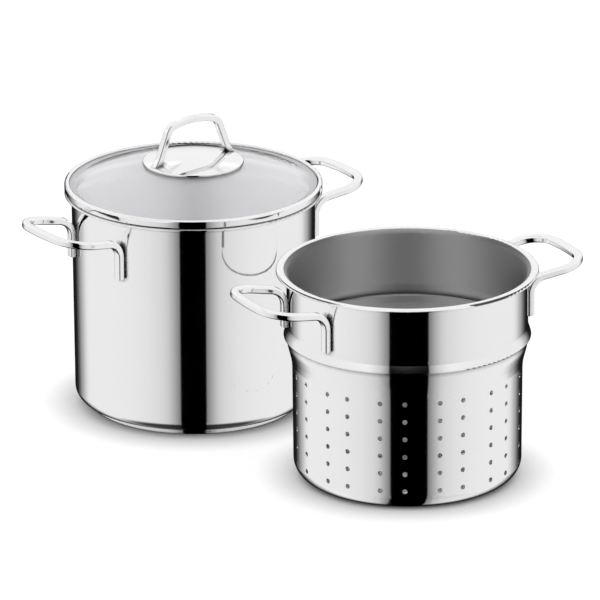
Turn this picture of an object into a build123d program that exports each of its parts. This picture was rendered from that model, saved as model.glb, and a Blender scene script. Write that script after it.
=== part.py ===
from build123d import *
import math
import os

# Pasta pot with a strainer insert and a glass lid, all sizes in millimetres and degrees.
# The origin is the centre of the pot's base, on the table. +X runs along the pot's two
# handles and +Z is up. The lid is on the pot, and the insert stands on the table beside it.

# Pot
pot_bore = 200.0
pot_height = 184.4
pot_sheet = 0.8
pot_draft = 1.6
pot_corner_radius = 11.4
pot_rim_bend = 2.4
pot_handle_drop = 18.3

# Rim that the pot, the insert and the lid share
rim_width = 6.5
rim_lip_drop = 1.3
rim_lip_bend = 0.9

# Heat-spreading base: an aluminium disc inside a steel cap
base_core_thickness = 4.4
base_cap_sheet = 0.6
base_cap_edge = 3.2

# Strainer insert
insert_sheet = 0.7
basket_clearance = 6.5
shoulder_clearance = 2.6
bead_overlap = 0.8
collar_step = 2.1
basket_draft = 0.8
basket_corner_radius = 15.5
water_space = 59.4
collar_height = 56.8
shoulder_height = 15.0
shoulder_drop = 6.5
shoulder_hollow_bend = 45.0
shoulder_bend = 16.0
bead_flare_height = 9.3
bead_flare_bend = 16.0
bead_edge_bend = 1.1
bead_root_bend = 0.6
insert_rim_bend = 3.6
insert_handle_drop = 14.0

# Where the insert stands, seen from the pot
insert_away_x = 43.3
insert_away_y = -246.2
insert_turn = -6.3

# Drain holes
drain_radius = 2.05
drain_rows = 6
drain_row_pitch = 14.9
drain_first_row = 17.1
drain_pairs = 12
drain_pair_angle = 12.4
drain_phase = -6.1
floor_rings = 4
floor_ring_pitch = 16.0
floor_ring_holes = 6

# Side handles, bent from flat bar and spot-welded to the wall
bar_width = 7.2
bar_height = 6.0
bar_round = 1.9
handle_span = 71.0
handle_reach = 49.0
handle_leg = 30.4
handle_splay = 8.0
handle_rise = 9.5
handle_wall_bend = 14.0
handle_corner_bend = 22.0
handle_bow = 3.0
handle_bow_bend = 170.0
weld_sink = 0.6

# Lid rim band
lid_sheet = 0.6
lid_seat_gap = 0.2
lid_band_height = 7.0
lid_band_lip = 4.2
lid_lip_drop = 1.6
lid_skirt_depth = 5.0
lid_skirt_clearance = 0.8
lid_band_bend = 1.7
lid_root_bend = 0.5

# Glass
glass_thickness = 4.0
glass_rise = 20.5
glass_flat = 5.2
glass_blend = 12.0
glass_edge_round = 1.4
glass_clearance = 0.2
glass_hole_radius = 5.5

# Lid handle: domed plate, loop of flat bar and the fixing under them
plate_radius = 41.6
plate_sheet = 1.0
plate_crown_radius = 166.0
plate_edge_drop = 1.5
plate_gap = 1.7
loop_bar_width = 6.6
loop_bar_height = 5.8
loop_bar_round = 1.7
loop_foot_half_span = 35.9
loop_ankle_half_span = 33.3
loop_ankle_height = 4.7
loop_shoulder_half_span = 23.4
loop_height = 36.8
loop_bow = 6.2
loop_ankle_bend = 10.0
loop_corner_bend = 9.0
loop_bow_bend = 70.0
foot_sink = 4.0

# Fixing through the glass
gasket_radius = 9.5
gasket_thickness = 1.2
sleeve_clearance = 0.25
boss_radius = 7.0
screw_radius = 2.5
screw_running_gap = 0.15
screw_head_radius = 4.6
screw_head_height = 3.4
screw_socket_radius = 1.6
screw_socket_depth = 2.0
screw_end_gap = 0.3
washer_radius = 8.0
washer_thickness = 1.0
lock_washer_radius = 4.4
lock_washer_thickness = 1.1
lock_washer_slit = 0.8

# One length that every cutting tool runs past the surface that it cuts
overrun = 2.0

# Share of a sheet's thickness by which its cut edges are rounded
edge_round_share = 0.45

# Radii and heights that follow from the sizes above
pot_inner_radius = pot_bore / 2
rim_radius = pot_inner_radius + rim_width
pot_outer_radius = pot_inner_radius + pot_sheet
pot_foot_radius = pot_outer_radius - pot_draft
pot_underside = base_cap_sheet + base_core_thickness
pot_floor = pot_underside + pot_sheet
base_radius = pot_foot_radius - pot_corner_radius
basket_radius = pot_inner_radius - basket_clearance
shoulder_radius = pot_inner_radius - shoulder_clearance
bead_radius = pot_inner_radius + bead_overlap
collar_radius = pot_inner_radius - collar_step
collar_inner_radius = collar_radius - insert_sheet
bead_height = pot_height - pot_floor - water_space
insert_height = bead_height + collar_height
lid_seat = pot_height + lid_seat_gap
glass_top_flat = lid_seat + lid_sheet + glass_clearance + glass_thickness
glass_edge_radius = rim_radius - lid_sheet - glass_clearance
glass_dome_foot = glass_edge_radius - glass_flat
glass_reach = (glass_dome_foot**2 + glass_rise**2) / (2 * glass_rise)
glass_crown_radius = glass_reach - glass_blend
glass_top = glass_top_flat + glass_rise
glass_under = glass_top - glass_thickness


def side_normal(start, end):
    """Unit vector to the left of the run from start to end."""
    length = math.dist(start, end)
    return (start[1] - end[1]) / length, (end[0] - start[0]) / length


def parallel(points, distance):
    """Corners of the line that runs beside the given one, to its left."""
    moved = []
    for index, point in enumerate(points):
        before = side_normal(*points[index - 1 : index + 1]) if index > 0 else None
        after = side_normal(*points[index : index + 2]) if index + 1 < len(points) else None
        first = before or after
        second = after or before
        scale = distance / (1 + first[0] * second[0] + first[1] * second[1])
        across = (first[0] + second[0]) * scale
        up = (first[1] + second[1]) * scale
        moved.append((point[0] + across, point[1] + up))
    return moved


def turns_left(before, corner, after):
    """True where the line bends to its left at the corner."""
    first = side_normal(before, corner)
    second = side_normal(corner, after)
    return first[0] * second[1] - first[1] * second[0] > 0


def turned_face(face):
    """Solid of revolution about Z from a face drawn in radius and height."""
    return revolve(Plane.XZ * face, Axis.Z)


def turned(outline):
    """Solid of revolution about Z from a closed outline drawn in radius and height."""
    return turned_face(make_face(outline))


def turned_sheet(points, bends, thickness, lip_share=edge_round_share):
    """Sheet metal spun about Z. The points are its outer side, and the sheet lies to their left."""
    inner = parallel(points, thickness)
    inner_bends = []
    for index, bend in enumerate(bends):
        left = turns_left(*points[index : index + 3])
        inner_bends.append(bend - thickness if left else bend + thickness)
    lip = thickness * lip_share
    start = 0 if points[0][0] == 0 else lip
    radii = [start, *bends, lip, lip, *reversed(inner_bends), start]
    return turned(FilletPolyline(*points, *reversed(inner), radius=radii, close=True))


def ring(inner_radius, outer_radius, low, high):
    """Flat washer, or a plain disc where the inner radius is zero."""
    body = Pos(0, 0, low) * Cylinder(outer_radius, high - low, align=(Align.CENTER, Align.CENTER, Align.MIN))
    if inner_radius == 0:
        return body
    return body - Pos(0, 0, low - overrun) * Cylinder(
        inner_radius, high - low + 2 * overrun, align=(Align.CENTER, Align.CENTER, Align.MIN)
    )


def flanged_rim(wall_radius, height, sheet):
    """Outer corners of a rim: up the wall, out along the flange and down its lip."""
    return [
        (wall_radius, height - sheet),
        (rim_radius - sheet, height - sheet),
        (rim_radius - sheet, height - sheet - rim_lip_drop),
    ]


def pot_outline():
    """Corners of the pot's outer side, from the centre of its floor to its lip."""
    return [
        (0, pot_underside),
        (pot_foot_radius, pot_underside),
        *flanged_rim(pot_outer_radius, pot_height, pot_sheet),
    ]


def make_pot_shell():
    """Pressed steel pot with a turned-out rim."""
    return turned_sheet(pot_outline(), [pot_corner_radius, pot_rim_bend, rim_lip_bend], pot_sheet)


def make_base_core():
    """Aluminium disc that spreads the heat."""
    low = base_cap_sheet
    radius = base_radius - base_cap_sheet
    edge = base_cap_edge - base_cap_sheet
    points = [(0, low), (radius, low), (radius, pot_underside), (0, pot_underside)]
    return turned(FilletPolyline(*points, radius=[0, edge, 0, 0], close=True))


def make_base_cap():
    """Steel cap that wraps the disc and meets the pot's underside."""
    points = [(0, 0), (base_radius, 0), (base_radius, pot_underside)]
    return turned_sheet(points, [base_cap_edge], base_cap_sheet, lip_share=0)


def insert_outline():
    """Corners of the insert's outer side, from the centre of its floor to its lip."""
    shoulder_top = bead_height - shoulder_drop
    return [
        (0, 0),
        (basket_radius - basket_draft, 0),
        (basket_radius, shoulder_top - shoulder_height),
        (shoulder_radius, shoulder_top),
        (shoulder_radius, bead_height),
        (bead_radius, bead_height),
        (collar_radius, bead_height + bead_flare_height),
        *flanged_rim(collar_radius, insert_height, insert_sheet),
    ]


def drain_angles():
    """Angles of the columns of drain holes, which stand in pairs round the wall."""
    angles = []
    for pair in range(drain_pairs):
        centre = drain_phase + pair * 360 / drain_pairs
        angles.append(centre - drain_pair_angle / 2)
        angles.append(centre + drain_pair_angle / 2)
    return angles


def drain_wall_tools():
    """One cutter for each hole in the basket's wall."""
    start = basket_radius - basket_draft - insert_sheet - overrun
    depth = shoulder_radius + overrun - start
    tools = []
    for angle in drain_angles():
        for row in range(drain_rows):
            height = drain_first_row + row * drain_row_pitch
            spot = Rot(0, 0, angle) * Pos(start, 0, height) * Rot(0, 90, 0)
            tools.append(spot * Cylinder(drain_radius, depth, align=(Align.CENTER, Align.CENTER, Align.MIN)))
    return tools


def drain_floor_tools():
    """One cutter for each hole in the basket's floor."""
    depth = insert_sheet + 2 * overrun
    tools = [Cylinder(drain_radius, depth)]
    for circle in range(1, floor_rings + 1):
        count = floor_ring_holes * circle
        for step in range(count):
            spot = Rot(0, 0, step * 360 / count) * Pos(circle * floor_ring_pitch, 0, 0)
            tools.append(spot * Cylinder(drain_radius, depth))
    return tools


def make_insert_shell():
    """Perforated basket, a shoulder, the bead that rests on the pot's rim, and a collar above it."""
    bends = [
        basket_corner_radius,
        shoulder_hollow_bend,
        shoulder_bend,
        bead_root_bend,
        bead_edge_bend,
        bead_flare_bend,
        insert_rim_bend,
        rim_lip_bend,
    ]
    shell = turned_sheet(insert_outline(), bends, insert_sheet)
    return shell - drain_wall_tools() - drain_floor_tools()


def handle_points(wall_radius, corner_height):
    """Corners of a side handle's centre line, from one leg's end to the other's."""
    leg_y = handle_span / 2
    seat_radius = wall_radius + bar_height / 2 - weld_sink
    leg_x = math.sqrt(seat_radius**2 - leg_y**2)
    tip_x = wall_radius + handle_reach
    end_x = tip_x - handle_bow
    rise = math.tan(math.radians(handle_rise))
    end_y = leg_y + (end_x - leg_x) * math.tan(math.radians(handle_splay))
    near = [
        (leg_x, leg_y, corner_height - handle_leg),
        (leg_x, leg_y, corner_height),
        (end_x, end_y, corner_height + (end_x - leg_x) * rise),
    ]
    far = [(x, -y, z) for x, y, z in reversed(near)]
    return [*near, (tip_x, 0, corner_height + (tip_x - leg_x) * rise), *far]


def bar_sweep(points, bends, width, height, corner, side):
    """Flat bar bent along a line of corners. Side is the direction of the bar's width at its start."""
    path = FilletPolyline(*points, radius=bends)
    along = Vector(*points[1]) - Vector(*points[0])
    start = Plane(origin=points[0], x_dir=side, z_dir=along)
    return sweep(start * RectangleRounded(width, height, corner), path=path)


def make_handle(wall_foot, wall_top, drop):
    """Side handle on the +X side, its legs cut to fit the wall between two (radius, height) points."""
    points = handle_points(wall_top[0], wall_top[1] - drop)
    bends = [handle_wall_bend, handle_corner_bend, handle_bow_bend, handle_corner_bend, handle_wall_bend]
    splay = math.radians(handle_splay)
    side = (-math.sin(splay), math.cos(splay), 0)
    bar = bar_sweep(points, bends, bar_width, bar_height, bar_round, side)
    wall = turned(Polyline((0, wall_foot[1]), wall_foot, wall_top, (0, wall_top[1]), close=True))
    return bar - wall


def make_lid_band():
    """Steel band rolled round the edge of the glass, with a skirt that locates the lid."""
    skirt_radius = collar_inner_radius - lid_skirt_clearance
    band_top = lid_seat + lid_band_height
    lip_radius = rim_radius - lid_band_lip
    points = [
        (skirt_radius, lid_seat - lid_skirt_depth),
        (skirt_radius, lid_seat),
        (rim_radius, lid_seat),
        (rim_radius, band_top),
        (lip_radius, band_top),
        (lip_radius, band_top - lid_lip_drop),
    ]
    bends = [lid_root_bend, lid_band_bend, lid_band_bend, lid_sheet + lid_root_bend]
    return turned_sheet(points, bends, lid_sheet)


def dome_height(radius, crown_radius, crown_height):
    """Height of a dome's surface at a radius from its axis."""
    return crown_height - crown_radius + math.sqrt(crown_radius**2 - radius**2)


def glass_side(crown_radius, blend, crown_height, flat_height):
    """One side of the glass from the hole to its edge: dome, blend and flat border."""
    dome_centre = crown_height - crown_radius
    share = crown_radius / (crown_radius + blend)
    meet = (glass_dome_foot * share, dome_centre + (flat_height + blend - dome_centre) * share)
    middle_radius = (glass_hole_radius + meet[0]) / 2
    dome = ThreePointArc(
        (glass_hole_radius, dome_height(glass_hole_radius, crown_radius, crown_height)),
        (middle_radius, dome_height(middle_radius, crown_radius, crown_height)),
        meet,
    )
    lean = math.atan2(glass_dome_foot - meet[0], flat_height + blend - meet[1]) / 2
    belly = (glass_dome_foot - blend * math.sin(lean), flat_height + blend - blend * math.cos(lean))
    foot = ThreePointArc(meet, belly, (glass_dome_foot, flat_height))
    return dome, foot, Line((glass_dome_foot, flat_height), (glass_edge_radius, flat_height))


def make_lid_glass():
    """Domed toughened glass with a flat border and a hole for the handle's screw."""
    upper = glass_side(glass_crown_radius, glass_blend, glass_top, glass_top_flat)
    lower = glass_side(
        glass_crown_radius - glass_thickness,
        glass_blend + glass_thickness,
        glass_under,
        glass_top_flat - glass_thickness,
    )
    edge = Line(upper[2] @ 1, lower[2] @ 1)
    bore = Line(upper[0] @ 0, lower[0] @ 0)
    section = make_face([*upper, *lower, edge, bore])
    return turned_face(fillet(section.vertices().group_by(Axis.X)[-1], glass_edge_round))


def plate_edge():
    """Height of the handle plate's outer edge, where its turned-down lip stands off the glass."""
    return dome_height(plate_radius, glass_crown_radius, glass_top) + plate_gap + plate_edge_drop


def plate_crown():
    """Height of the handle plate's top at the axis."""
    return plate_edge() + plate_crown_radius - math.sqrt(plate_crown_radius**2 - plate_radius**2)


def cap_section(radius, crown_radius, crown_height, floor_height):
    """Face in radius and height under a dome, down to a flat floor."""
    middle = radius / 2
    edge_height = dome_height(radius, crown_radius, crown_height)
    dome = ThreePointArc(
        (0, crown_height),
        (middle, dome_height(middle, crown_radius, crown_height)),
        (radius, edge_height),
    )
    sides = Polyline((radius, edge_height), (radius, floor_height), (0, floor_height), (0, crown_height))
    return make_face([dome, *sides.edges()])


def make_lid_plate():
    """Domed steel plate under the lid's loop, with a turned-down edge."""
    crown = plate_crown()
    low = plate_edge() - plate_edge_drop
    section = cap_section(plate_radius, plate_crown_radius, crown, low)
    corner = section.vertices().group_by(Axis.X)[-1].sort_by(Axis.Y)[-1]
    outer = turned_face(fillet(corner, plate_sheet))
    inner_crown_radius = plate_crown_radius - plate_sheet
    hollow = cap_section(plate_radius - plate_sheet, inner_crown_radius, crown - plate_sheet, low - overrun)
    return outer - turned_face(hollow)


def make_lid_loop():
    """Grip loop of flat bar, with its feet cut to fit the plate."""
    crown = plate_crown()
    foot = dome_height(loop_foot_half_span, plate_crown_radius, crown)
    top = foot + loop_height
    flare = (loop_foot_half_span - loop_ankle_half_span) / loop_ankle_height
    near = [
        (-loop_foot_half_span - flare * foot_sink, 0, foot - foot_sink),
        (-loop_ankle_half_span, 0, foot + loop_ankle_height),
        (-loop_shoulder_half_span, 0, top - loop_bow),
    ]
    far = [(-x, y, z) for x, y, z in reversed(near)]
    bends = [loop_ankle_bend, loop_corner_bend, loop_bow_bend, loop_corner_bend, loop_ankle_bend]
    points = [*near, (0, 0, top), *far]
    bar = bar_sweep(points, bends, loop_bar_width, loop_bar_height, loop_bar_round, (0, 1, 0))
    plate = cap_section(plate_radius + foot_sink, plate_crown_radius, crown, foot - 2 * foot_sink)
    return bar - turned_face(plate)


def make_boss():
    """Threaded boss welded under the plate, which takes the screw."""
    crown = plate_crown()
    low = glass_top + gasket_thickness
    body = ring(screw_radius, boss_radius, low, crown)
    ceiling = cap_section(plate_radius, plate_crown_radius - plate_sheet, crown - plate_sheet, low - overrun)
    return body & turned_face(ceiling)


def make_upper_gasket():
    """Silicone washer between the boss and the glass, pressed to the glass's curve."""
    low = dome_height(gasket_radius, glass_crown_radius, glass_top)
    return ring(boss_bore(), gasket_radius, low, glass_top + gasket_thickness) - make_lid_glass()


def boss_bore():
    """Radius of the clearance holes that the screw passes through."""
    return screw_radius + screw_running_gap


def sleeve_top():
    """Height where the lower gasket's sleeve ends, just under the upper gasket."""
    return dome_height(gasket_radius, glass_crown_radius, glass_top) - sleeve_clearance


def lower_gasket_base():
    """Height of the flat side of the gasket under the glass."""
    return dome_height(gasket_radius, glass_crown_radius - glass_thickness, glass_under) - gasket_thickness


def make_lower_gasket():
    """Silicone washer under the glass, with the sleeve that lines the hole."""
    washer = ring(boss_bore(), gasket_radius, lower_gasket_base(), glass_under) - make_lid_glass()
    sleeve = ring(boss_bore(), glass_hole_radius - sleeve_clearance, lower_gasket_base(), sleeve_top())
    return washer + sleeve


def make_lid_washer():
    """Flat steel washer under the lower gasket."""
    top = lower_gasket_base()
    return ring(boss_bore(), washer_radius, top - washer_thickness, top)


def make_lock_washer():
    """Split spring washer under the screw's head."""
    top = lower_gasket_base() - washer_thickness
    body = ring(boss_bore(), lock_washer_radius, top - lock_washer_thickness, top)
    slit = Box(
        lock_washer_radius + overrun,
        lock_washer_slit,
        lock_washer_thickness + overrun,
        align=(Align.MIN, Align.CENTER, Align.CENTER),
    )
    return body - Pos(0, 0, top - lock_washer_thickness / 2) * slit


def make_screw():
    """Pan-head screw with a hexagon socket, up through the glass into the boss."""
    seat = lower_gasket_base() - washer_thickness - lock_washer_thickness
    low = seat - screw_head_height
    head = ring(0, screw_head_radius, low, seat)
    head = fillet(head.edges().sort_by(Axis.Z)[0], screw_head_height / 2)
    shank = ring(0, screw_radius, seat, plate_crown() - plate_sheet - screw_end_gap)
    socket = Pos(0, 0, low) * extrude(RegularPolygon(screw_socket_radius, 6), screw_socket_depth)
    return head + shank - socket


def opposite(piece):
    """The same piece turned half round the vessel's axis."""
    return Rot(0, 0, 180) * piece


def standing(piece):
    """A piece of the insert, moved to where the insert stands."""
    return Pos(insert_away_x, insert_away_y, 0) * Rot(0, 0, insert_turn) * piece


def make_parts():
    """Every piece under the name of its node."""
    pot_wall = pot_outline()[1:3]
    pot_handle = make_handle(*pot_wall, pot_handle_drop)
    insert_wall = insert_outline()[-4:-2]
    insert_handle = make_handle(*insert_wall, insert_handle_drop)
    return {
        "pot_shell": make_pot_shell(),
        "pot_base_core": make_base_core(),
        "pot_base_cap": make_base_cap(),
        "pot_handle_right": pot_handle,
        "pot_handle_left": opposite(pot_handle),
        "insert_shell": standing(make_insert_shell()),
        "insert_handle_right": standing(insert_handle),
        "insert_handle_left": standing(opposite(insert_handle)),
        "lid_glass": make_lid_glass(),
        "lid_rim_band": make_lid_band(),
        "lid_handle_plate": make_lid_plate(),
        "lid_handle_loop": make_lid_loop(),
        "lid_handle_boss": make_boss(),
        "lid_upper_gasket": make_upper_gasket(),
        "lid_lower_gasket": make_lower_gasket(),
        "lid_washer": make_lid_washer(),
        "lid_lock_washer": make_lock_washer(),
        "lid_screw": make_screw(),
    }


os.makedirs("parts", exist_ok=True)
for node, shape in make_parts().items():
    export_step(shape, f"parts/{node}.step")
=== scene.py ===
import math

import bpy
from mathutils import Matrix, Vector


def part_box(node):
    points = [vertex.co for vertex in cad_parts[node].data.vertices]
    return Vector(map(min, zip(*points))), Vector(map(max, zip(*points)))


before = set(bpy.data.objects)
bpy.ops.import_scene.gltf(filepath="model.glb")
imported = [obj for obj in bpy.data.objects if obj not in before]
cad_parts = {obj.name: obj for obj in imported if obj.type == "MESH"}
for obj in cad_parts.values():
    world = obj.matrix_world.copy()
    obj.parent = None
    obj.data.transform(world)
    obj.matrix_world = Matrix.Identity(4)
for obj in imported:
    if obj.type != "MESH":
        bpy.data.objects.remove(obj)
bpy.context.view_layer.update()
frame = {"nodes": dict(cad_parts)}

# The photograph's view. Across and away are measured on the floor, square to that view.
VIEW_TURN = math.radians(34.3)
VIEW_DROP = math.radians(19.07)
VIEW_ROLL = math.radians(-0.229)
CAMERA_DISTANCE = 8.319
CAMERA_LENS = 600.0
AIM_ACROSS = 0.0876
AIM_AWAY = 0.0337
AIM_HEIGHT = 0.0753

# Vessels
POT_AXIS = Vector((0, 0, 0))
INSERT_LOW, INSERT_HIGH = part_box("insert_shell")
INSERT_AXIS = Vector(((INSERT_LOW.x + INSERT_HIGH.x) / 2, (INSERT_LOW.y + INSERT_HIGH.y) / 2, 0))

# Studio
FLOOR_SIZE = 40.0
FLOOR_COLOUR = (0.38, 0.38, 0.38, 1)
FLOOR_GLOW = 0.72
# Painted contact shadow: the floor's glow is darkened by ambient occlusion within this reach, to this power
PAINTED_CONTACT_SHADOW_REACH = 0.035
PAINTED_CONTACT_SHADOW_DEPTH = 1.2
FILL_RADIUS = 12.0

# Painted shade: the metal's colour is darkened in its own grooves and corners, within this reach
STEEL_COLOUR = 0.88
PAINTED_GROOVE_SHADE_REACH = 0.0045
PAINTED_GROOVE_SHADE_DEPTH = 2.0
CAP_PAINTED_GROOVE_SHADE_DEPTH = 0.7
SATIN_ROUGHNESS = 0.5
SATIN_STRETCH = 0.85

# A vessel's inside: walls that lean to its axis, and faces that rise below the floor's top
INWARD_LEAN = -0.25
FLOOR_RISE = 0.3
FLOOR_TOP = 0.03

# Faces this square to the axis are upright walls
UPRIGHT = 0.995

# Marks on the steel: soft smudges, and fine brushing that runs round
SMUDGE_SCALE = 22.0
BRUSHING_SCALE = 60.0
BRUSHING_STRETCH = 40.0
BRUSHING_DEPTH = 0.0002

# Rays that come through the drain holes from outside end this low and are at least this long, and
# those that come in over the rim are longer than the insert is wide
DRAIN_TOP = 0.095
DRAIN_RAY = 0.1
RIM_RAY = 0.205
RIM_DEPTH = 0.002

# A handle shows in metal no further away than this
MIRROR_REACH = 0.1

# Brightness of the studio that polished metal sees. A dark gap faces the front, between two soft
# boxes that fade towards it, in degrees from the gap's edge.
GAP_FADE = [(0.0, 0.0), (0.3, 0.22), (6.0, 0.44), (12.0, 0.66)]
GAP_FADE += [(18.0, 0.76), (30.0, 0.85), (50.0, 0.91), (70.0, 0.93)]
UPPER_FADE = [(0.0, 0.0), (0.3, 0.3), (8.0, 0.7), (20.0, 1.0)]
FRONT = (-0.5, -0.1)

# The table's far side is dark, by the cosine of the angle from the photograph's line of sight
BEHIND_FADE = [(0.52, 1.0), (0.6, 0.95), (0.66, 0.8), (0.72, 0.58)]
BEHIND_FADE += [(0.78, 0.4), (0.84, 0.16), (0.9, 0.02), (1.0, 0.004)]
BEHIND_TOP = (-0.1, 0.1)

# Straight below, polished metal sees the dark foot of its own stand
BELOW = (-0.92, -0.74)
BELOW_LEVEL = 0.06

# The upper half of the studio is dark behind the insert, where only its inside sees it
ASIDE_FADE = [(0.0, 1.0), (59.0, 1.0), (73.0, 0.1), (180.0, 0.03)]
ASIDE_FOOT = (0.28, 0.36)
RIM_SPOT = (0.96, 0.985)

# Heights where the parts of the studio end, as sines of their angle over the table
BOX_TOP = (0.1, 0.26)
GAP_TOP = (0.8, 0.97)
INSERT_GAP_TOP = (0.26, 0.36)
INSERT_GAP = (18.7, 0.9)
POT_GAP = (12.1, -0.5)


def from_view(across, away, height):
    """Point in the row frame from its place as the photograph's view sees the floor."""
    turn = Matrix.Rotation(-VIEW_TURN, 3, "Z")
    return turn @ Vector((across, away, height))


def make_camera():
    """Long lens from the photograph's height and direction."""
    camera = bpy.data.objects.new("camera", bpy.data.cameras.new("camera"))
    bpy.context.scene.collection.objects.link(camera)
    bpy.context.scene.camera = camera
    camera.data.lens = CAMERA_LENS
    camera.data.clip_end = 10 * CAMERA_DISTANCE
    aim = from_view(AIM_ACROSS, AIM_AWAY, AIM_HEIGHT)
    back = from_view(0, -math.cos(VIEW_DROP), math.sin(VIEW_DROP))
    camera.location = aim + back * CAMERA_DISTANCE
    facing = back.to_track_quat("Z", "Y")
    camera.rotation_mode = "QUATERNION"
    camera.rotation_quaternion = facing @ Matrix.Rotation(VIEW_ROLL, 3, "Z").to_quaternion()


class Nodes:
    """Short way to add and join shader nodes in one material or world."""

    def __init__(self, owner):
        owner.use_nodes = True
        self.tree = owner.node_tree
        self.tree.nodes.clear()

    def add(self, kind, inputs=None, **settings):
        node = self.tree.nodes.new(kind)
        for name, value in settings.items():
            setattr(node, name, value)
        for name, value in (inputs or {}).items():
            if isinstance(value, bpy.types.NodeSocket):
                self.tree.links.new(value, node.inputs[name])
            else:
                node.inputs[name].default_value = value
        return node

    def math(self, operation, first, second=0.0, third=0.0):
        node = self.add("ShaderNodeMath", {0: first, 1: second, 2: third}, operation=operation)
        return node.outputs[0]

    def ramp(self, factor, stops, interpolation="LINEAR"):
        node = self.add("ShaderNodeValToRGB", {"Fac": factor})
        node.color_ramp.interpolation = interpolation
        elements = node.color_ramp.elements
        while len(elements) < len(stops):
            elements.new(0.5)
        for element, (position, level) in zip(elements, stops):
            element.position = position
            element.color = (level, level, level, 1)
        return node.outputs["Color"]

    def output(self, shader, kind="ShaderNodeOutputMaterial"):
        self.add(kind, {"Surface": shader})


def along(nodes, direction, axis):
    """Cosine of the angle between a direction and an axis."""
    return nodes.add("ShaderNodeVectorMath", {0: direction, 1: axis}, operation="DOT_PRODUCT").outputs["Value"]


def away_from(nodes, axis):
    """Level direction away from a vessel's axis, and how much a face's own normal leans that way."""
    place = nodes.add("ShaderNodeTexCoord").outputs["Object"]
    centre = nodes.add("ShaderNodeVectorMath", {0: place, 1: axis}, operation="SUBTRACT").outputs[0]
    level = nodes.add("ShaderNodeVectorMath", {0: centre, 1: (1, 1, 0)}, operation="MULTIPLY").outputs[0]
    outward = nodes.add("ShaderNodeVectorMath", {0: level}, operation="NORMALIZE").outputs[0]
    facing = nodes.add("ShaderNodeNewGeometry").outputs["True Normal"]
    return outward, along(nodes, outward, facing)


def inside_mask(nodes, axis):
    """1 where a vessel's surface faces its own axis or lies on its floor, and 0 outside."""
    lean = away_from(nodes, axis)[1]
    place = nodes.add("ShaderNodeTexCoord").outputs["Object"]
    facing = nodes.add("ShaderNodeNewGeometry").outputs["True Normal"]
    height = nodes.add("ShaderNodeSeparateXYZ", {0: place}).outputs["Z"]
    rise = nodes.add("ShaderNodeSeparateXYZ", {0: facing}).outputs["Z"]
    wall = nodes.math("LESS_THAN", lean, INWARD_LEAN)
    low = nodes.math("LESS_THAN", height, FLOOR_TOP)
    floor = nodes.math("MULTIPLY", nodes.math("GREATER_THAN", rise, FLOOR_RISE), low)
    return nodes.math("MAXIMUM", wall, floor)


def round_wall(nodes, axis):
    """Normal that is exactly round on a vessel's upright walls, and the mesh's own elsewhere."""
    outward, lean = away_from(nodes, axis)
    normal = nodes.add("ShaderNodeNewGeometry").outputs["Normal"]
    upright = nodes.math("GREATER_THAN", nodes.math("ABSOLUTE", lean), UPRIGHT)
    side = nodes.math("SIGN", lean)
    facing = nodes.add("ShaderNodeVectorMath", {0: outward, "Scale": side}, operation="SCALE").outputs[0]
    mixed = nodes.add("ShaderNodeMix", {0: upright, 4: normal, 5: facing}, data_type="VECTOR")
    return mixed.outputs[1]


def clear_in_mirrors(nodes, surface, path, through):
    """Surface that rays from metal pass through where a mask is 1, and that all others see."""
    through = nodes.math("MULTIPLY", path["Is Glossy Ray"], through)
    clear = nodes.add("ShaderNodeBsdfTransparent").outputs[0]
    return nodes.add("ShaderNodeMixShader", {0: through, 1: surface, 2: clear}).outputs[0]


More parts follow.
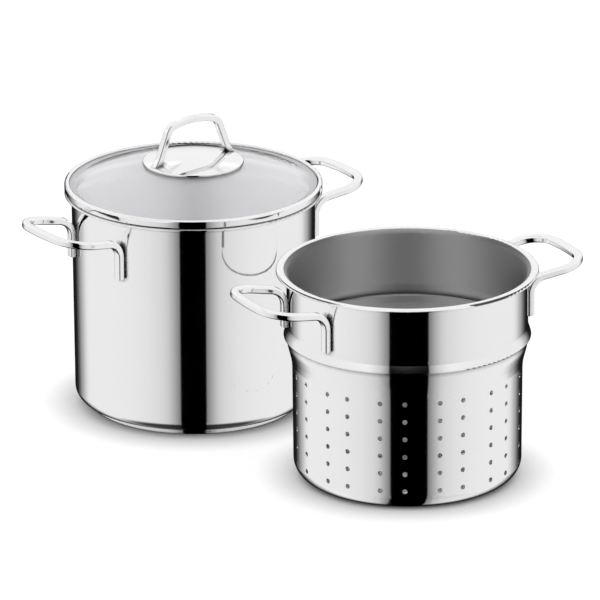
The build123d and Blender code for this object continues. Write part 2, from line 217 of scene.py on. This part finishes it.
def polished_steel(
    name, axis=None, satin_colour=0.45, roughness=0.035, open_outside=False, near_only=False, painted_groove_shade=PAINTED_GROOVE_SHADE_DEPTH
):
    """Mirror-polished stainless steel, with a satin inside where it is a vessel.

    Other metal doesn't mirror its outside with open_outside, or only near metal does with near_only.
    """
    material = bpy.data.materials.new(name)
    nodes = Nodes(material)
    place = nodes.add("ShaderNodeTexCoord").outputs["Object"]
    smudge = nodes.add("ShaderNodeTexNoise", {"Vector": place, "Scale": SMUDGE_SCALE, "Detail": 4.0}).outputs["Fac"]
    rings = nodes.add("ShaderNodeMapping", {"Vector": place, "Scale": (1.0, 1.0, BRUSHING_STRETCH)}).outputs[0]
    brushing = {"Vector": rings, "Scale": BRUSHING_SCALE, "Detail": 5.0}
    brushing = nodes.add("ShaderNodeTexNoise", brushing).outputs["Fac"]
    outer_rough = nodes.math("MULTIPLY_ADD", smudge, 0.03, roughness)
    outer_tone = nodes.math("MULTIPLY_ADD", smudge, 0.02, STEEL_COLOUR - 0.01)
    rough = outer_rough
    tone = outer_tone
    if axis is not None:
        inside = inside_mask(nodes, axis)
        inner_rough = nodes.math("MULTIPLY_ADD", brushing, 0.12, SATIN_ROUGHNESS)
        inner_tone = nodes.math("MULTIPLY_ADD", brushing, 0.08, satin_colour)
        rough = nodes.add("ShaderNodeMix", {0: inside, 2: outer_rough, 3: inner_rough}).outputs[0]
        tone = nodes.add("ShaderNodeMix", {0: inside, 2: outer_tone, 3: inner_tone}).outputs[0]
    # Painted shade: ambient occlusion darkens the colour in grooves, corners and seams
    near = nodes.add("ShaderNodeAmbientOcclusion", {"Distance": PAINTED_GROOVE_SHADE_REACH}, samples=8).outputs["AO"]
    tone = nodes.math("MULTIPLY", tone, nodes.math("POWER", near, painted_groove_shade))
    shade = nodes.add("ShaderNodeCombineColor", {0: tone, 1: tone, 2: tone}).outputs[0]
    grain = {"Height": brushing, "Strength": 0.012, "Distance": BRUSHING_DEPTH}
    if axis is not None:
        grain["Normal"] = round_wall(nodes, axis)
    bump = nodes.add("ShaderNodeBump", grain).outputs[0]
    surface = nodes.add(
        "ShaderNodeBsdfPrincipled", {"Base Color": shade, "Roughness": rough, "Metallic": 1.0, "Normal": bump}
    )
    if axis is not None:
        upright = nodes.add("ShaderNodeCombineXYZ", {"Z": 1.0}).outputs[0]
        nodes.tree.links.new(upright, surface.inputs["Tangent"])
        nodes.tree.links.new(nodes.math("MULTIPLY", inside, SATIN_STRETCH), surface.inputs["Anisotropic"])
    surface = surface.outputs[0]
    if open_outside:
        path = nodes.add("ShaderNodeLightPath").outputs
        passed = nodes.math("GREATER_THAN", path["Transparent Depth"], 0.5)
        through = nodes.math("MAXIMUM", passed, nodes.math("SUBTRACT", 1.0, inside))
        height = nodes.add("ShaderNodeSeparateXYZ", {0: place}).outputs["Z"]
        low = nodes.math("LESS_THAN", height, DRAIN_TOP)
        long = nodes.math("GREATER_THAN", path["Ray Length"], DRAIN_RAY)
        through = nodes.math("MAXIMUM", through, nodes.math("MULTIPLY", low, long))
        across = nodes.math("GREATER_THAN", path["Ray Length"], RIM_RAY)
        rim = nodes.math("GREATER_THAN", height, INSERT_HIGH.z - RIM_DEPTH)
        through = nodes.math("MAXIMUM", through, nodes.math("MAXIMUM", across, rim))
        surface = clear_in_mirrors(nodes, surface, path, through)
    if near_only:
        path = nodes.add("ShaderNodeLightPath").outputs
        far = nodes.math("GREATER_THAN", path["Ray Length"], MIRROR_REACH)
        surface = clear_in_mirrors(nodes, surface, path, far)
    nodes.output(surface)
    return material


def lid_glass():
    """Clear toughened glass with a faint cool tint."""
    material = bpy.data.materials.new("lid_glass")
    nodes = Nodes(material)
    place = nodes.add("ShaderNodeTexCoord").outputs["Object"]
    wave = nodes.add("ShaderNodeTexNoise", {"Vector": place, "Scale": 9.0, "Detail": 1.0}).outputs["Fac"]
    bump = nodes.add("ShaderNodeBump", {"Height": wave, "Strength": 0.05, "Distance": 0.001}).outputs[0]
    smear = nodes.add("ShaderNodeTexNoise", {"Vector": place, "Scale": 30.0, "Detail": 3.0}).outputs["Fac"]
    rough = nodes.math("MULTIPLY", smear, 0.02)
    surface = nodes.add(
        "ShaderNodeBsdfPrincipled",
        {
            "Base Color": (0.93, 0.93, 0.96, 1),
            "Roughness": rough,
            "IOR": 1.5,
            "Transmission Weight": 0.7,
            "Normal": bump,
        },
    )
    nodes.output(surface.outputs[0])
    return material


def dull(name, colour, roughness, metallic, grain):
    """Plain hidden surface with a fine grain: silicone, rolled aluminium or screw steel."""
    material = bpy.data.materials.new(name)
    nodes = Nodes(material)
    place = nodes.add("ShaderNodeTexCoord").outputs["Object"]
    speck = nodes.add("ShaderNodeTexNoise", {"Vector": place, "Scale": grain, "Detail": 4.0}).outputs["Fac"]
    tone = nodes.math("MULTIPLY_ADD", speck, 0.08, colour - 0.04)
    shade = nodes.add("ShaderNodeCombineColor", {0: tone, 1: tone, 2: tone}).outputs[0]
    rough = nodes.math("MULTIPLY_ADD", speck, 0.1, roughness - 0.05)
    bump = nodes.add("ShaderNodeBump", {"Height": speck, "Strength": 0.1, "Distance": 0.0002}).outputs[0]
    surface = nodes.add(
        "ShaderNodeBsdfPrincipled",
        {"Base Color": shade, "Roughness": rough, "Metallic": metallic, "Normal": bump},
    )
    nodes.output(surface.outputs[0])
    return material


def dress(material, *names):
    """Gives CAD nodes one material."""
    for name in names:
        piece = frame["nodes"][name]
        piece.data.materials.clear()
        piece.data.materials.append(material)


def dress_all():
    """Finishes of every piece."""
    dress(polished_steel("pot_steel", POT_AXIS, satin_colour=0.76), "pot_shell")
    dress(polished_steel("insert_steel", INSERT_AXIS, satin_colour=0.42, open_outside=True), "insert_shell")
    dress(polished_steel("cap_steel", painted_groove_shade=CAP_PAINTED_GROOVE_SHADE_DEPTH), "pot_base_cap")
    dress(polished_steel("band_steel"), "lid_rim_band")
    handle = polished_steel("handle_steel", roughness=0.05, near_only=True)
    dress(handle, "pot_handle_left", "pot_handle_right", "insert_handle_left", "insert_handle_right")
    dress(handle, "lid_handle_loop", "lid_handle_plate")
    dress(lid_glass(), "lid_glass")
    dress(dull("silicone", 0.7, 0.5, 0.0, 300.0), "lid_upper_gasket", "lid_lower_gasket")
    dress(dull("rolled_aluminium", 0.7, 0.4, 1.0, 200.0), "pot_base_core")
    fastener = dull("fastener_steel", 0.6, 0.3, 1.0, 400.0)
    dress(fastener, "lid_handle_boss", "lid_washer", "lid_lock_washer", "lid_screw")


def make_floor():
    """Plain pale floor, white to the eye, with the object's real shadow in its matt part and a painted contact
    shadow in its glow.
    """
    bpy.ops.mesh.primitive_plane_add(size=FLOOR_SIZE)
    floor = bpy.context.object
    floor.name = "floor"
    material = bpy.data.materials.new("floor")
    nodes = Nodes(material)
    path = nodes.add("ShaderNodeLightPath").outputs
    seen = nodes.math("MAXIMUM", path["Is Camera Ray"], path["Is Glossy Ray"])
    seen = nodes.math("MAXIMUM", seen, path["Is Transmission Ray"])
    # Painted contact shadow: ambient occlusion darkens the glow near the objects
    painted_contact_shadow = nodes.add("ShaderNodeAmbientOcclusion", {"Distance": PAINTED_CONTACT_SHADOW_REACH}, samples=8).outputs["AO"]
    painted_contact_shadow = nodes.math("POWER", painted_contact_shadow, PAINTED_CONTACT_SHADOW_DEPTH)
    glow = nodes.math("MULTIPLY", nodes.math("MULTIPLY", seen, FLOOR_GLOW), painted_contact_shadow)
    light = nodes.add("ShaderNodeEmission", {"Strength": glow}).outputs[0]
    matt = nodes.add("ShaderNodeBsdfDiffuse", {"Color": FLOOR_COLOUR}).outputs[0]
    nodes.output(nodes.add("ShaderNodeAddShader", {0: matt, 1: light}).outputs[0])
    floor.data.materials.append(material)
    floor.visible_glossy = False


def rising(nodes, value, low, high):
    """Smooth step from 0 to 1 as a value passes between two others."""
    return nodes.add("ShaderNodeMapRange", {0: value, 1: low, 2: high}, interpolation_type="SMOOTHSTEP").outputs[0]


def blend(nodes, share, first, second):
    """First value where the share is 0, and second where it is 1."""
    return nodes.add("ShaderNodeMix", {0: share, 2: first, 3: second}).outputs[0]


def studio(nodes, direction, gap, gap_top, dark_above=False, dark_below=True):
    """Brightness of the studio in a direction, with a dark gap of a half width round a centre.

    Bearings are those of the upright wall that mirrors the direction, so the gap's edges look straight.
    dark_above darkens the upper half behind the insert, and dark_below the studio's foot.
    """
    width, centre = gap
    unit = nodes.add("ShaderNodeVectorMath", {0: direction}, operation="NORMALIZE").outputs[0]
    ahead = along(nodes, unit, from_view(0, -1, 0))
    aside = along(nodes, unit, from_view(1, 0, 0))
    height = nodes.add("ShaderNodeSeparateXYZ", {0: unit}).outputs["Z"]
    turn = nodes.math("ARCTAN2", aside, nodes.math("ADD", ahead, math.cos(VIEW_DROP)))
    turn = nodes.math("ABSOLUTE", nodes.math("SUBTRACT", nodes.math("MULTIPLY", turn, 2.0), math.radians(centre)))
    share = nodes.math("DIVIDE", turn, math.pi)
    walls = nodes.ramp(share, [(0.0, 0.0)] + [((width + beyond) / 180, level) for beyond, level in GAP_FADE])
    upper = nodes.ramp(share, [(0.0, 0.0)] + [((width + beyond) / 180, level) for beyond, level in UPPER_FADE])
    upper = blend(nodes, rising(nodes, ahead, *FRONT), 1.0, upper)
    level = blend(nodes, rising(nodes, height, *BOX_TOP), walls, upper)
    level = blend(nodes, rising(nodes, height, *gap_top), level, 1.0)
    sight = from_view(0, math.cos(VIEW_DROP), -math.sin(VIEW_DROP))
    behind = nodes.ramp(along(nodes, unit, sight), BEHIND_FADE)
    behind = blend(nodes, rising(nodes, height, *BEHIND_TOP), behind, 1.0)
    if dark_above:
        aside_level = nodes.ramp(share, [(angle / 180, bright) for angle, bright in ASIDE_FADE])
        rim_sees = from_view(0, math.cos(VIEW_DROP), math.sin(VIEW_DROP))
        spot = rising(nodes, along(nodes, unit, rim_sees), *RIM_SPOT)
        aside_level = blend(nodes, spot, aside_level, 1.0)
        behind = nodes.math(
            "MULTIPLY", behind, blend(nodes, rising(nodes, height, *ASIDE_FOOT), 1.0, aside_level)
        )
    level = nodes.math("MULTIPLY", level, behind)
    if dark_below:
        level = nodes.math("MULTIPLY", level, blend(nodes, rising(nodes, height, *BELOW), BELOW_LEVEL, 1.0))
    return level


def make_world():
    """White studio all round, which polished surfaces see as soft boxes with dark gaps."""
    world = bpy.data.worlds.new("studio")
    bpy.context.scene.world = world
    nodes = Nodes(world)
    direction = nodes.add("ShaderNodeTexCoord").outputs["Generated"]
    level = studio(nodes, direction, INSERT_GAP, GAP_TOP, dark_above=True)
    glossy = nodes.add("ShaderNodeLightPath").outputs["Is Glossy Ray"]
    strength = blend(nodes, glossy, 1.0, level)
    light = nodes.add("ShaderNodeBackground", {"Color": (1, 1, 1, 1), "Strength": strength}).outputs[0]
    nodes.output(light, "ShaderNodeOutputWorld")
    world.cycles.sampling_method = "NONE"


def make_fill(name, radius, pieces, *wanted_studio):
    """Soft light all round that only some pieces reflect, which narrows the gap they show."""
    bpy.ops.mesh.primitive_uv_sphere_add(segments=64, ring_count=32, radius=radius, location=POT_AXIS)
    fill = bpy.context.object
    fill.name = name
    material = bpy.data.materials.new(name)
    nodes = Nodes(material)
    place = nodes.add("ShaderNodeTexCoord").outputs["Object"]
    wanted = studio(nodes, place, *wanted_studio)
    given = studio(nodes, place, INSERT_GAP, GAP_TOP, True)
    missing = nodes.math("MAXIMUM", nodes.math("SUBTRACT", wanted, given), 0.0)
    clear = nodes.add("ShaderNodeBsdfTransparent").outputs[0]
    light = nodes.add("ShaderNodeEmission", {"Strength": missing}).outputs[0]
    nodes.output(nodes.add("ShaderNodeAddShader", {0: clear, 1: light}).outputs[0])
    material.cycles.emission_sampling = "NONE"
    fill.data.materials.append(material)
    fill.visible_camera = False
    fill.visible_diffuse = False
    fill.visible_transmission = False
    fill.visible_shadow = False
    fill.visible_volume_scatter = False
    lit = bpy.data.collections.new("lit_by_" + name)
    for piece in pieces:
        lit.objects.link(piece)
    fill.light_linking.receiver_collection = lit


def make_fills():
    """Fills for the pot with its lid, the insert's shell, the insert's handles and the base cap."""
    nodes = frame["nodes"]
    cap = [nodes["pot_base_cap"]]
    others = [piece for name, piece in nodes.items() if not name.startswith("insert") and piece not in cap]
    grips = [nodes["insert_handle_left"], nodes["insert_handle_right"]]
    make_fill("pot_fill", FILL_RADIUS, others, POT_GAP, GAP_TOP)
    make_fill("insert_fill", 1.1 * FILL_RADIUS, [nodes["insert_shell"]], INSERT_GAP, INSERT_GAP_TOP, True, False)
    make_fill("grip_fill", 1.2 * FILL_RADIUS, grips, INSERT_GAP, INSERT_GAP_TOP)
    make_fill("cap_fill", 1.3 * FILL_RADIUS, cap, POT_GAP, GAP_TOP, False, False)


def part_reflections():
    """Each vessel is photographed by itself, so neither shows in the other's walls."""
    for name, piece in frame["nodes"].items():
        if name != "insert_shell" and "handle" not in name:
            piece.visible_glossy = False


make_camera()
dress_all()
make_floor()
make_world()
make_fills()
part_reflections()
bpy.context.scene.view_settings.view_transform = "Standard"
